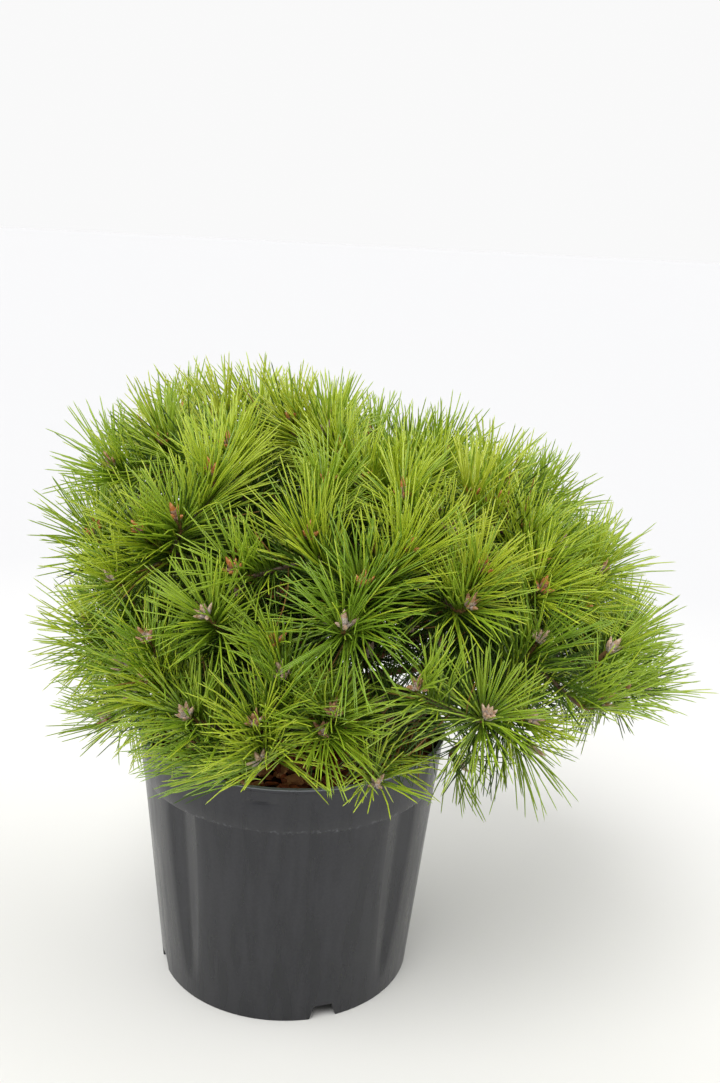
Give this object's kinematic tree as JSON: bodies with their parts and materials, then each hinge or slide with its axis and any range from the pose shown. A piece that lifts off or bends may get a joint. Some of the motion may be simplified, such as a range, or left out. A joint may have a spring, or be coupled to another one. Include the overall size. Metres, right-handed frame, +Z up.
{
  "type": "potted dwarf japanese red pine",
  "caption": "Low, domed dwarf pine with long needles on short boughs, standing in a round black nursery container filled with bark-topped growing medium.",
  "frame": {"origin": "middle of the container's flat underside", "axes": "+Z up along the container's axis, -Y towards the front of the plant, +X towards its wider, lower side"},
  "size_m": [0.6982, 0.66, 0.6633],
  "materials": {
    "container": "satin",
    "growing_medium": "rough",
    "bark": "rough",
    "foliage": "satin"
  },
  "bodies": {
    "root": {"pot": "container", "growing_medium": "growing_medium", "trunk": "bark", "bough_low_1": "bark", "bough_low_2": "bark", "bough_low_3": "bark", "bough_low_4": "bark", "bough_low_5": "bark", "bough_low_6": "bark", "bough_low_7": "bark", "bough_high_1": "bark", "bough_high_2": "bark", "bough_high_3": "bark", "bough_high_4": "bark", "bough_high_5": "bark", "needles_low_1": "foliage", "needles_low_2": "foliage", "needles_low_3": "foliage", "needles_low_4": "foliage", "needles_low_5": "foliage", "needles_low_6": "foliage", "needles_low_7": "foliage", "needles_high_1": "foliage", "needles_high_2": "foliage", "needles_high_3": "foliage", "needles_high_4": "foliage", "needles_high_5": "foliage", "needles_top": "foliage"}
  },
  "joints": []
}
